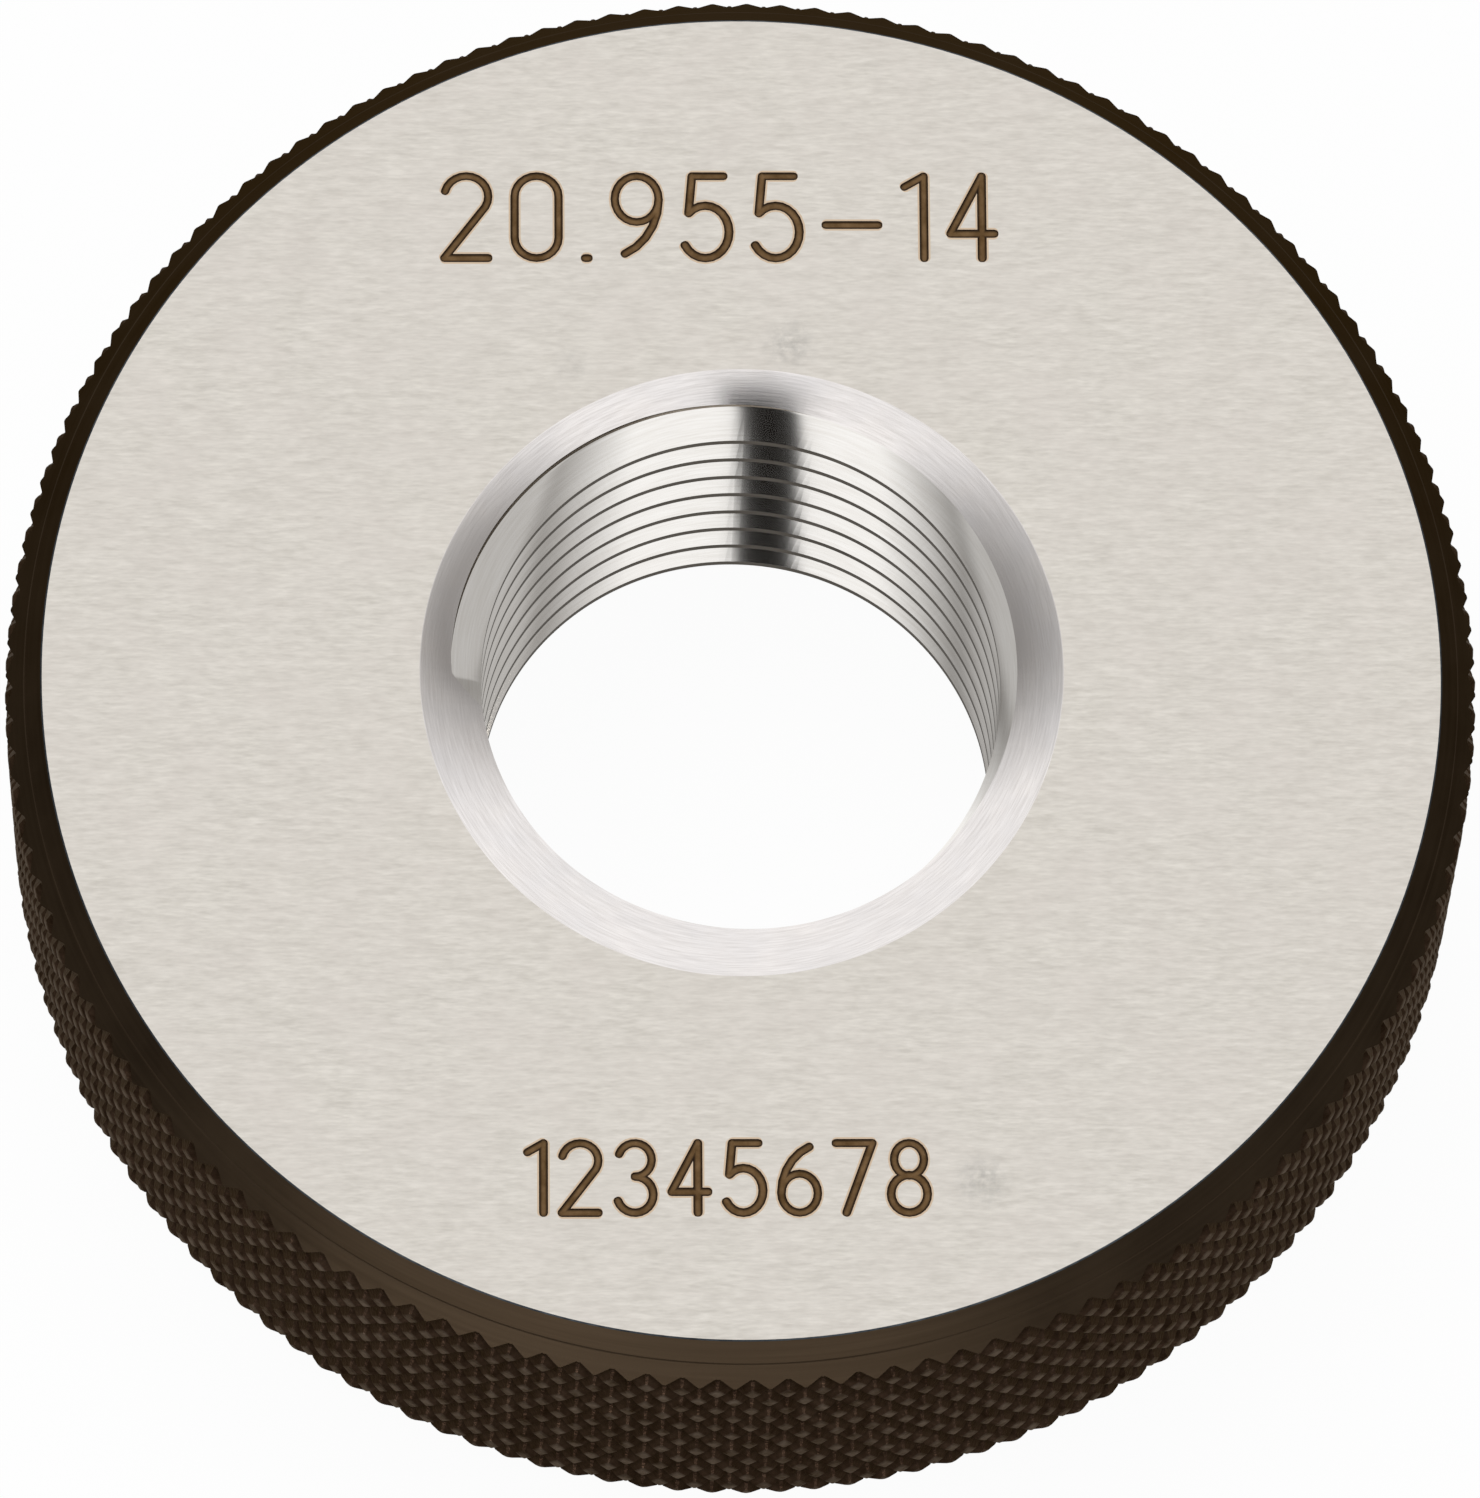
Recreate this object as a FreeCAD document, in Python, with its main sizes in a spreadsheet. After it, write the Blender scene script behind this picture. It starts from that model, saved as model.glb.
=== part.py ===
import FreeCAD, Part
import math
import os

import Sketcher

# Ring gauge for a G 1/2 parallel pipe thread: one hardened steel ring, turned, diamond knurled
# on its rim, bored, threaded and ground flat on both faces. Millimetres and degrees. The origin
# is the centre of the lower face, and +Z is the axis of the thread.

doc = FreeCAD.newDocument("thread_ring_gauge")

SIZES = (
    ("ring_width", 16.0),
    ("rim_diameter", 52.7),
    ("bevel_width", 1.35),
    ("bevel_depth", 1.65),
    ("knurl_pitch", 1.84),
    ("knurl_angle", 31.3),
    ("knurl_depth", 0.3),
    ("knurl_top_row", 1.2),
    ("knurl_turn", 0.545),
    ("thread_major_diameter", 20.955),
    ("thread_minor_diameter", 18.631),
    ("thread_pitch", 1.8143),
    ("thread_start", 0.341),
    ("mouth_diameter", 22.97),
    ("mouth_depth", 1.1),
)

sheet = doc.addObject("Spreadsheet::Sheet", "sizes")
for row, (alias, number) in enumerate(SIZES, start=1):
    sheet.set(f"A{row}", alias)
    sheet.set(f"B{row}", str(number))
    sheet.setAlias(f"B{row}", alias)
doc.recompute()

# How far the plain stock stands outside the rim, the roll's bevels run on past the faces and
# the cut of a mouth reaches into the open bore.
TRIM = 1.0


def origin_of(body, role):
    """The body's own origin plane or axis with this role."""
    return next(item for item in body.Origin.OriginFeatures if item.Role == role)


def new_sketch(body, name, plane):
    """An empty sketch on one of the body's origin planes."""
    sketch = body.newObject("Sketcher::SketchObject", name)
    sketch.AttachmentSupport = [(origin_of(body, plane), "")]
    sketch.MapMode = "FlatFace"
    return sketch


def bind(sketch, constraint, name, expression):
    """Adds a constraint and ties its value to the sheet."""
    index = sketch.addConstraint(constraint)
    sketch.renameConstraint(index, name)
    sketch.setExpression(f"Constraints.{name}", expression)


def add_section(sketch, name, corners):
    """A closed outline of straight lines. Each corner is (radius, height, the two as expressions)."""
    lines = []
    for here, there in zip(corners, corners[1:] + corners[:1]):
        start = FreeCAD.Vector(here[0], here[1], 0)
        end = FreeCAD.Vector(there[0], there[1], 0)
        lines.append(sketch.addGeometry(Part.LineSegment(start, end), False))
    for line, following in zip(lines, lines[1:] + lines[:1]):
        sketch.addConstraint(Sketcher.Constraint("Coincident", line, 2, following, 1))
    for number, (line, corner) in enumerate(zip(lines, corners)):
        radius, height, radius_rule, height_rule = corner
        across = Sketcher.Constraint("DistanceX", -1, 1, line, 1, radius)
        bind(sketch, across, f"{name}_radius_{number}", radius_rule)
        up = Sketcher.Constraint("DistanceY", -1, 1, line, 1, height)
        bind(sketch, up, f"{name}_height_{number}", height_rule)


# The stock: a plain thick washer. Its bore is drawn as four quadrants, so each turn of the
# thread's crest is left as four short strips of the bore's wall.
stock_body = doc.addObject("PartDesign::Body", "threaded_stock")
stock_body.Label = "threaded_stock"
outline = new_sketch(stock_body, "stock_outline", "XY_Plane")
centre = FreeCAD.Vector(0, 0, 0)
up_axis = FreeCAD.Vector(0, 0, 1)
bore_radius = sheet.thread_minor_diameter / 2
stock_radius = sheet.rim_diameter / 2 + TRIM
stock_circle = outline.addGeometry(Part.Circle(centre, up_axis, stock_radius), False)
outline.addConstraint(Sketcher.Constraint("Coincident", stock_circle, 3, -1, 1))
stock_size = Sketcher.Constraint("Radius", stock_circle, stock_radius)
bind(outline, stock_size, "stock_radius", f"sizes.rim_diameter / 2 + {TRIM}")
bore_circle = Part.Circle(centre, up_axis, bore_radius)
quadrants = []
for quarter in range(4):
    start_angle = quarter * math.pi / 2
    arc = Part.ArcOfCircle(bore_circle, start_angle, start_angle + math.pi / 2)
    quadrants.append(outline.addGeometry(arc, False))
for quarter, arc in enumerate(quadrants):
    sketch_axis = -1 if quarter % 2 == 0 else -2
    outline.addConstraint(Sketcher.Constraint("Coincident", arc, 3, -1, 1))
    outline.addConstraint(Sketcher.Constraint("Coincident", quadrants[quarter - 1], 2, arc, 1))
    outline.addConstraint(Sketcher.Constraint("PointOnObject", arc, 1, sketch_axis))
bore_size = Sketcher.Constraint("Radius", quadrants[0], bore_radius)
bind(outline, bore_size, "bore_radius", "sizes.thread_minor_diameter / 2")

stock = stock_body.newObject("PartDesign::Pad", "stock")
stock.Profile = outline
stock.Refine = False
stock.setExpression("Length", "sizes.ring_width")
doc.recompute()

# The mouths: a wide countersink at each end of the bore, both turned by one groove.
mouth_sketch = new_sketch(stock_body, "mouth_sections", "XZ_Plane")
inner_radius = bore_radius - TRIM
mouth_radius = sheet.mouth_diameter / 2
inner_rule = f"sizes.thread_minor_diameter / 2 - {TRIM}"
bore_rule = "sizes.thread_minor_diameter / 2"
mouth_rule = "sizes.mouth_diameter / 2"
for end, face_height, floor_height, face_rule, floor_rule in (
    ("lower", 0.0, sheet.mouth_depth, "0", "sizes.mouth_depth"),
    (
        "upper",
        sheet.ring_width,
        sheet.ring_width - sheet.mouth_depth,
        "sizes.ring_width",
        "sizes.ring_width - sizes.mouth_depth",
    ),
):
    add_section(
        mouth_sketch,
        end,
        [
            (inner_radius, face_height, inner_rule, face_rule),
            (mouth_radius, face_height, mouth_rule, face_rule),
            (bore_radius, floor_height, bore_rule, floor_rule),
            (inner_radius, floor_height, inner_rule, floor_rule),
        ],
    )
mouths = stock_body.newObject("PartDesign::Groove", "mouths")
mouths.Profile = mouth_sketch
mouths.ReferenceAxis = (origin_of(stock_body, "Z_Axis"), [""])
mouths.Angle = 360
mouths.Refine = False
doc.recompute()

# The thread: one helical groove, right hand, from below the lower face to above the upper one.
# Its section is the 55 degree form with its crests and roots cut off flat, a sixth of the pitch
# wide. The flanks run on an eighth of the depth into the open bore, so the cut leaves no skin.
ROOT_HALF_WIDTH = "sizes.thread_pitch / 12"
OPEN_HALF_WIDTH = "sizes.thread_pitch * 11 / 24"
major_radius = sheet.thread_major_diameter / 2
open_radius = bore_radius - (major_radius - bore_radius) / 8
root_half_width = sheet.thread_pitch / 12
open_half_width = sheet.thread_pitch * 11 / 24
groove_height = sheet.thread_start - sheet.thread_pitch
groove_rule = "sizes.thread_start - sizes.thread_pitch"
major_rule = "sizes.thread_major_diameter / 2"
open_rule = f"{bore_rule} - (sizes.thread_major_diameter - sizes.thread_minor_diameter) / 16"
groove_sketch = new_sketch(stock_body, "thread_groove_section", "XZ_Plane")
groove_corners = []
for radius, half_width, radius_rule, half_rule, side in (
    (major_radius, root_half_width, major_rule, ROOT_HALF_WIDTH, -1),
    (major_radius, root_half_width, major_rule, ROOT_HALF_WIDTH, 1),
    (open_radius, open_half_width, open_rule, OPEN_HALF_WIDTH, 1),
    (open_radius, open_half_width, open_rule, OPEN_HALF_WIDTH, -1),
):
    height = groove_height + side * half_width
    groove_corners.append((radius, height, radius_rule, f"{groove_rule} + {side} * {half_rule}"))
add_section(groove_sketch, "groove", groove_corners)
thread = stock_body.newObject("PartDesign::SubtractiveHelix", "thread")
thread.Profile = groove_sketch
thread.ReferenceAxis = (origin_of(stock_body, "Z_Axis"), [""])
thread.Mode = "pitch-height-angle"
thread.setExpression("Pitch", "sizes.thread_pitch")
thread.setExpression("Height", "sizes.ring_width + 2 * sizes.thread_pitch")
thread.LeftHanded = False
thread.Refine = False
stock_body.Tip = thread
doc.recompute()

# The knurl. Two sets of V grooves wind round the rim, one each way, and leave pyramids between
# them. Their corners lie on a lattice of upright lines, half a pitch apart, and level rows: by
# turns the tip of a pyramid, on the rim, and a crossing of two grooves, at their full depth.
# The bevels to the faces were turned first, so they cut the outer pyramids off as arches. The
# teeth are coarser here than the 132 fine ones of a real rim.
rim_radius = sheet.rim_diameter / 2
root_radius = rim_radius - sheet.knurl_depth
face_radius = rim_radius - sheet.bevel_width
bevel_slope = sheet.bevel_width / sheet.bevel_depth
tooth_count = round(math.pi * sheet.rim_diameter / sheet.knurl_pitch)
half_pitch_angle = math.pi / tooth_count
row_height = rim_radius * half_pitch_angle / math.tan(math.radians(sheet.knurl_angle))
first_crossing = sheet.ring_width - sheet.knurl_top_row


def lattice_point(line, row):
    """(line, height, radius) of a corner of the knurl, rows counted down from the top one."""
    crossing = (line + row) % 2 == 0
    return (line, first_crossing - row * row_height, root_radius if crossing else rim_radius)


def bevel_radius(height, upper):
    """The radius of the upper or the lower bevel's cone at this height."""
    depth = sheet.ring_width - height if upper else height
    return face_radius + bevel_slope * depth


def keep_under_bevel(corners, upper):
    """The part of a flat piece of the knurl inside a bevel's cone, and its corners on the cone."""
    kept = []
    cut = []
    for here, there in zip(corners, corners[1:] + corners[:1]):
        room_here = bevel_radius(here[1], upper) - here[2]
        room_there = bevel_radius(there[1], upper) - there[2]
        if room_here >= 0:
            kept.append(here)
        if (room_here >= 0) != (room_there >= 0):
            share = room_here / (room_here - room_there)
            corner = tuple(a + share * (b - a) for a, b in zip(here, there))
            kept.append(corner)
            cut.append(corner)
    return kept, cut


def half_tooth(line):
    """The outer faces between two upright lines, from one trimmed end of the roll to the other."""
    rows_above = math.ceil((sheet.knurl_top_row + TRIM) / row_height)
    rows_below = math.ceil((first_crossing + TRIM) / row_height)
    faces = []
    cuts = {True: [], False: []}
    for row in range(-rows_above, rows_below):
        top_left = lattice_point(line, row)
        top_right = lattice_point(line + 1, row)
        low_left = lattice_point(line, row + 1)
        low_right = lattice_point(line + 1, row + 1)
        if (line + row) % 2 == 0:
            pair = ([top_left, low_left, low_right], [top_left, low_right, top_right])
        else:
            pair = ([top_left, low_left, top_right], [low_left, low_right, top_right])
        for piece in pair:
            for upper in (True, False):
                piece, cut = keep_under_bevel(piece, upper)
                cuts[upper] += cut
            if len(piece) > 2:
                faces.append(piece)
    for upper in (True, False):
        face_height = sheet.ring_width if upper else 0.0
        end_height = face_height + (TRIM if upper else -TRIM)
        face_corners = [(line, face_height, face_radius), (line + 1, face_height, face_radius)]
        end_corners = [(line, end_height, face_radius), (line + 1, end_height, face_radius)]
        along_cut = sorted({tuple(round(value, 6) for value in corner) for corner in cuts[upper]})
        bevel = [face_corners[0]] + along_cut + [face_corners[1]]
        run_on = [end_corners[0]] + face_corners + [end_corners[1]]
        cap = [(line, end_height, 0.0)] + end_corners
        faces += [face if upper else face[::-1] for face in (bevel, run_on, cap)]
    return faces


points = []
places = {}


def place_of(corner, tooth):
    """The number of this corner in the list of points, turned to its tooth."""
    line, height, radius = corner
    angle = math.radians(sheet.knurl_turn) + (line + 2 * tooth) * half_pitch_angle
    point = (radius * math.cos(angle), radius * math.sin(angle), height)
    key = tuple(round(value, 4) for value in point)
    if key not in places:
        places[key] = len(points)
        points.append(FreeCAD.Vector(*point))
    return places[key]


triangles = []
tooth_faces = half_tooth(0) + half_tooth(1)
for tooth in range(tooth_count):
    for corners in tooth_faces:
        ring = [place_of(corner, tooth) for corner in corners]
        for second, third in zip(ring[1:], ring[2:]):
            if len({ring[0], second, third}) == 3:
                triangles.append((ring[0], second, third))

roll = doc.addObject("Part::Feature", "knurled_roll")
roll.Label = "knurled_roll"
roll_shell = Part.Shape()
roll_shell.makeShapeFromMesh((points, triangles), 0.00001)
roll.Shape = Part.makeSolid(roll_shell)
roll.Placement = FreeCAD.Placement()

# The gauge is what the threaded stock and the knurled roll share.
gauge = doc.addObject("Part::Common", "gauge_ring")
gauge.Label = "gauge_ring"
gauge.Base = stock_body
gauge.Tool = roll
gauge.Refine = False
gauge.Placement = FreeCAD.Placement()
doc.recompute()

for item in doc.Objects:
    if "Invalid" in item.State or "Error" in item.State:
        raise RuntimeError(f"{item.Label} failed to build: {item.State}")
for item in (stock_body, roll, gauge):
    if item.Shape.isNull() or not item.Shape.isValid():
        raise RuntimeError(f"{item.Label} has no valid shape")
if len(gauge.Shape.Solids) != 1:
    raise RuntimeError("the gauge isn't one solid")

os.makedirs("parts", exist_ok=True)
gauge.Shape.Solids[0].exportStep(f"parts/{gauge.Label}.step")
print(gauge.Label, "volume", round(gauge.Shape.Volume, 2), "teeth", tooth_count)
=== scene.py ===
import math

import bmesh
import bpy
from mathutils import Matrix, Vector


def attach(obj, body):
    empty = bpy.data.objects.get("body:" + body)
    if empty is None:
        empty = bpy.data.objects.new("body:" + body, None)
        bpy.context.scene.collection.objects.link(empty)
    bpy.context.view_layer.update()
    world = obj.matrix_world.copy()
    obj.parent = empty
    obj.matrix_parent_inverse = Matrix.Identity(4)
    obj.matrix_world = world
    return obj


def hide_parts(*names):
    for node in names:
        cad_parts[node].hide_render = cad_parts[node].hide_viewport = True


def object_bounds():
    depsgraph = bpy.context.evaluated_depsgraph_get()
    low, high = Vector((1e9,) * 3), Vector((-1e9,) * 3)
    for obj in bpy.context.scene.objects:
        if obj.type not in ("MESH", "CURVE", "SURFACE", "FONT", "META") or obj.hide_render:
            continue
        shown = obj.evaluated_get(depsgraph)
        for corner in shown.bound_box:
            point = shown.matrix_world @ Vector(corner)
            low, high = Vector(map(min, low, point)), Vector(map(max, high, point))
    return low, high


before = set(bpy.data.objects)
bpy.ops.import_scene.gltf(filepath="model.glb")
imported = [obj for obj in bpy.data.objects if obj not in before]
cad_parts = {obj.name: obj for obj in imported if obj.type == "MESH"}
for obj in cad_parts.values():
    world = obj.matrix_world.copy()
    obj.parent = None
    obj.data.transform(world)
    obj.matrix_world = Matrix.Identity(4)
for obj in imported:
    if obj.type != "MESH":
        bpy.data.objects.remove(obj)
cad_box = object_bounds()

# The camera. The gauge lies flat and is looked at from above, a little towards the near side
# of the rim, through a long lens half a metre away.
ELEVATION = math.radians(70.68)
ROLL = math.radians(3.15)
HEADING = math.radians(-3.34)
DISTANCE = 0.533
AIM = Vector((0.00009, -0.00297, 0.0))
LENS = 359.5

toward_camera = Vector((0.0, -math.cos(ELEVATION), math.sin(ELEVATION)))
level_right = Vector((1.0, 0.0, 0.0))
level_up = toward_camera.cross(level_right)
picture_right = level_right * math.cos(ROLL) + level_up * math.sin(ROLL)
picture_up = level_up * math.cos(ROLL) - level_right * math.sin(ROLL)
heading = Matrix.Rotation(HEADING, 3, "Z")
camera_axes = [heading @ axis for axis in (picture_right, picture_up, toward_camera)]
camera_place = Matrix(camera_axes).transposed().to_4x4()
camera_place.translation = heading @ (AIM + toward_camera * DISTANCE) + Vector((0.0, 0.0, cad_box[1].z))

camera_data = bpy.data.cameras.new("camera")
camera_data.sensor_width = 36.0
camera_data.lens = LENS
camera = bpy.data.objects.new("camera", camera_data)
camera.matrix_world = camera_place
bpy.context.scene.collection.objects.link(camera)
bpy.context.scene.camera = camera

# The finishes of the ring. It is one hardened steel ring, blackened all over, then ground
# bright on both faces; the mouths and the thread are cut bright as well.


def fill(tree, node, sockets):
    """Gives a node's sockets plain values, or joins them to other outputs."""
    for socket, value in sockets.items():
        if isinstance(value, bpy.types.NodeSocket):
            tree.links.new(value, node.inputs[socket])
        else:
            node.inputs[socket].default_value = value


def lay(tree, kind, sockets=None, **settings):
    """A new node with its settings made and its sockets filled."""
    node = tree.nodes.new(kind)
    for name, value in settings.items():
        setattr(node, name, value)
    fill(tree, node, sockets or {})
    return node


def work_out(tree, operation, *terms):
    """The output of one step of arithmetic."""
    return lay(tree, "ShaderNodeMath", dict(enumerate(terms)), operation=operation).outputs[0]


def off_axis(tree, place):
    """A place with its height taken out, and its distance from the ring's axis."""
    flat = lay(tree, "ShaderNodeVectorMath", {0: place, 1: (1, 1, 0)}, operation="MULTIPLY").outputs[0]
    return flat, lay(tree, "ShaderNodeVectorMath", {0: flat}, operation="LENGTH").outputs["Value"]


def spread(tree, value, low, high):
    """A value stretched so that low becomes 0 and high becomes 1, and held there."""
    sockets = {"Value": value, "From Min": low, "From Max": high}
    return lay(tree, "ShaderNodeMapRange", sockets).outputs[0]


def blend(tree, share, first, second):
    """One colour running into another."""
    mixed = lay(tree, "ShaderNodeMix", {"Factor": share}, data_type="RGBA")
    for socket, colour in (("A", first), ("B", second)):
        slot = next(item for item in mixed.inputs if item.name == socket and item.type == "RGBA")
        if isinstance(colour, bpy.types.NodeSocket):
            tree.links.new(colour, slot)
        else:
            slot.default_value = (*colour, 1)
    return next(item for item in mixed.outputs if item.type == "RGBA")


def bumps(tree, height, depth):
    """The normals of a surface with bumps as deep as this."""
    sockets = {"Height": height, "Distance": depth, "Strength": 1.0}
    return lay(tree, "ShaderNodeBump", sockets).outputs[0]


def new_finish(name):
    """A bare material, with its tree, its shader and its Object coordinates."""
    finish = bpy.data.materials.new(name)
    finish.use_nodes = True
    tree = finish.node_tree
    place = lay(tree, "ShaderNodeTexCoord").outputs["Object"]
    return finish, tree, tree.nodes["Principled BSDF"], place


def new_effect(name, inputs, outputs):
    """A shader group with these named sockets, and the values that it is given."""
    effect = bpy.data.node_groups.new(name, "ShaderNodeTree")
    for label, kind in inputs:
        effect.interface.new_socket(label, in_out="INPUT", socket_type="NodeSocket" + kind)
    for label, kind in outputs:
        effect.interface.new_socket(label, in_out="OUTPUT", socket_type="NodeSocket" + kind)
    return effect, effect.nodes.new("NodeGroupInput").outputs


# Tool marks run round the axis: streaks that change quickly with radius and height and slowly
# round the ring.
tool_marks, given = new_effect(
    "tool_marks",
    (("Place", "Vector"), ("Fineness", "Float"), ("Breaks", "Float"), ("Depth", "Float")),
    (("Value", "Float"), ("Normal", "Vector")),
)
flat, radius = off_axis(tool_marks, given["Place"])
round_about = lay(tool_marks, "ShaderNodeVectorMath", {0: flat}, operation="NORMALIZE").outputs[0]
sockets = {0: round_about, "Scale": given["Breaks"]}
round_about = lay(tool_marks, "ShaderNodeVectorMath", sockets, operation="SCALE").outputs[0]
outward = work_out(tool_marks, "MULTIPLY", radius, given["Fineness"])
outward = lay(tool_marks, "ShaderNodeCombineXYZ", {"Z": outward}).outputs[0]
height = lay(tool_marks, "ShaderNodeSeparateXYZ", {0: given["Place"]}).outputs["Z"]
streaks = lay(
    tool_marks,
    "ShaderNodeTexNoise",
    {
        "Vector": lay(tool_marks, "ShaderNodeVectorMath", {0: round_about, 1: outward}).outputs[0],
        "W": work_out(tool_marks, "MULTIPLY", height, given["Fineness"]),
        "Scale": 1.0,
        "Detail": 3.0,
        "Roughness": 0.6,
    },
    noise_dimensions="4D",
).outputs["Fac"]
lay(
    tool_marks,
    "NodeGroupOutput",
    {
        "Value": spread(tool_marks, streaks, 0.3, 0.7),
        "Normal": bumps(tool_marks, streaks, given["Depth"]),
    },
)


def marks_on(tree, place, fineness, breaks, depth=0.0):
    """Tool marks on a finish, as a value and as normals."""
    sockets = {"Place": place, "Fineness": fineness, "Breaks": breaks, "Depth": depth}
    outputs = lay(tree, "ShaderNodeGroup", sockets, node_tree=tool_marks).outputs
    return outputs["Value"], outputs["Normal"]


# Cloudy patches, for oxide, stains and wear.
patches, given = new_effect(
    "patches", (("Place", "Vector"), ("Per Metre", "Float"), ("Detail", "Float")), (("Value", "Float"),)
)
clouds = lay(
    patches,
    "ShaderNodeTexNoise",
    {"Vector": given["Place"], "Scale": given["Per Metre"], "Detail": given["Detail"], "Roughness": 0.6},
).outputs["Fac"]
lay(patches, "NodeGroupOutput", {"Value": spread(patches, clouds, 0.3, 0.7)})


def patches_on(tree, place, per_metre, detail):
    """Cloudy patches on a finish, as a value."""
    sockets = {"Place": place, "Per Metre": per_metre, "Detail": detail}
    return lay(tree, "ShaderNodeGroup", sockets, node_tree=patches).outputs["Value"]


# Surface ground: fine streaks nearly along the lines of marking, with a few faint rubbed spots.
GRAIN_TURN = 0.045
ground, tree, shader, place = new_finish("ground_steel")
grain = []
for along, across, detail in ((2200, 10500, 5.0), (800, 4200, 4.0), (4000, 30000, 1.0)):
    sockets = {"Vector": place, "Rotation": (0, 0, GRAIN_TURN), "Scale": (along, across, along)}
    stretched = lay(tree, "ShaderNodeMapping", sockets).outputs[0]
    sockets = {"Vector": stretched, "Scale": 1.0, "Detail": detail}
    grain.append(lay(tree, "ShaderNodeTexNoise", sockets).outputs["Fac"])
fine, broad, hair = grain
streaks = work_out(tree, "MULTIPLY_ADD", broad, 0.5, work_out(tree, "MULTIPLY", fine, 0.5))
streaks = spread(tree, streaks, 0.34, 0.66)
steel = blend(tree, streaks, (0.625, 0.590, 0.535), (0.800, 0.762, 0.702))
cast = work_out(tree, "MULTIPLY", patches_on(tree, place, 420.0, 2.0), 0.35)
steel = blend(tree, cast, steel, (0.72, 0.668, 0.622))
sockets = {"Vector": place, "Scale": 85.0, "Randomness": 1.0}
spots = lay(tree, "ShaderNodeTexVoronoi", sockets).outputs["Distance"]
rubbed = patches_on(tree, place, 3200.0, 3.0)
rubbed = work_out(tree, "MULTIPLY", spread(tree, spots, 0.10, 0.02), rubbed)
steel = blend(tree, work_out(tree, "MULTIPLY", rubbed, 0.55), steel, (0.36, 0.35, 0.33))
rough = work_out(tree, "MULTIPLY_ADD", hair, 0.14, 0.29)
scored = bumps(tree, fine, 0.000002)
fill(tree, shader, {"Base Color": steel, "Metallic": 1.0, "Roughness": rough, "Normal": scored})

# The broken edge round the ground face, dark and a little blue.
edge, tree, shader, place = new_finish("edge_steel")
nicks = patches_on(tree, place, 2500.0, 2.0)
blued = blend(tree, nicks, (0.035, 0.042, 0.05), (0.085, 0.10, 0.115))
fill(tree, shader, {"Base Color": blued, "Metallic": 1.0, "Roughness": 0.32})

# The mouths: bright turned steel, with rings left by the tool.
turned, tree, shader, place = new_finish("turned_steel")
marks, scored = marks_on(tree, place, 15000.0, 9.0, 0.0000009)
steel = blend(tree, marks, (0.76, 0.72, 0.695), (0.95, 0.91, 0.89))
dulled = work_out(tree, "MULTIPLY", patches_on(tree, place, 380.0, 3.0), 0.30)
steel = blend(tree, dulled, steel, (0.68, 0.68, 0.71))
rough = work_out(tree, "MULTIPLY_ADD", marks, -0.08, 0.20)
fill(tree, shader, {"Base Color": steel, "Metallic": 1.0, "Roughness": rough, "Normal": scored})

# The flanks of the thread: lapped nearly to a mirror.
threaded, tree, shader, place = new_finish("thread_steel")
marks, scored = marks_on(tree, place, 14000.0, 4.0, 0.0000003)
steel = blend(tree, marks, (0.84, 0.81, 0.77), (0.95, 0.93, 0.90))
fill(tree, shader, {"Base Color": steel, "Metallic": 1.0, "Roughness": 0.11, "Normal": scored})

# The crests and roots of the thread: a dark grey-brown skin, painted shade standing in for the shade
# under each turn of the thread.
crest_painted_shade, tree, shader, place = new_finish("crest_steel_painted_shade")
marks, _ = marks_on(tree, place, 9000.0, 6.0)
skin = blend(tree, marks, (0.20, 0.167, 0.130), (0.36, 0.315, 0.26))
fill(tree, shader, {"Base Color": skin, "Metallic": 1.0, "Roughness": 0.36})

# Blackened steel: a dark brown oxide over turned metal, thinner and lighter in places.
blackened, tree, shader, place = new_finish("blackened_steel")
marks, scored = marks_on(tree, place, 5000.0, 3.0, 0.0000015)
oxide = patches_on(tree, place, 260.0, 4.0)
skin = blend(tree, oxide, (0.025, 0.0165, 0.0100), (0.042, 0.0285, 0.0175))
skin = blend(tree, work_out(tree, "MULTIPLY", marks, 0.4), skin, (0.058, 0.041, 0.026))
rough = work_out(tree, "MULTIPLY_ADD", oxide, 0.12, 0.34)
fill(tree, shader, {"Base Color": skin, "Metallic": 1.0, "Roughness": rough, "Normal": scored})
fill(tree, shader, {"Specular Tint": (0.75, 0.60, 0.46, 1)})

# The same oxide on the knurl, darker down in the grooves with deeper oxide and painted shade, and
# lighter on the tips with rubbed wear and painted glints.
RIM_RADIUS = 0.02635
knurled, tree, shader, place = new_finish("blackened_knurl")
oxide = patches_on(tree, place, 1600.0, 3.0)
skin = blend(tree, oxide, (0.030, 0.016, 0.0095), (0.078, 0.048, 0.032))
below_tips = work_out(tree, "SUBTRACT", RIM_RADIUS, off_axis(tree, place)[1])
# Painted shade and deeper oxide: the knurl is painted darker down in its grooves.
groove_oxide_and_painted_shade = work_out(tree, "MULTIPLY", spread(tree, below_tips, 0.00015, 0.00028), 0.6)
skin = blend(tree, groove_oxide_and_painted_shade, skin, (0.010, 0.006, 0.004))
# Painted glints and rubbed wear: the tips are painted lighter.
wear_and_painted_glint = work_out(tree, "MULTIPLY", spread(tree, below_tips, 0.00006, 0.0), oxide)
skin = blend(tree, work_out(tree, "MULTIPLY", wear_and_painted_glint, 0.7), skin, (0.40, 0.33, 0.27))
rough = work_out(tree, "MULTIPLY_ADD", oxide, 0.10, 0.32)
pitted = bumps(tree, patches_on(tree, place, 7000.0, 2.0), 0.000012)
fill(tree, shader, {"Base Color": skin, "Metallic": 1.0, "Roughness": rough, "Normal": pitted})
fill(tree, shader, {"Specular Tint": (0.86, 0.72, 0.58, 1)})
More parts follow.
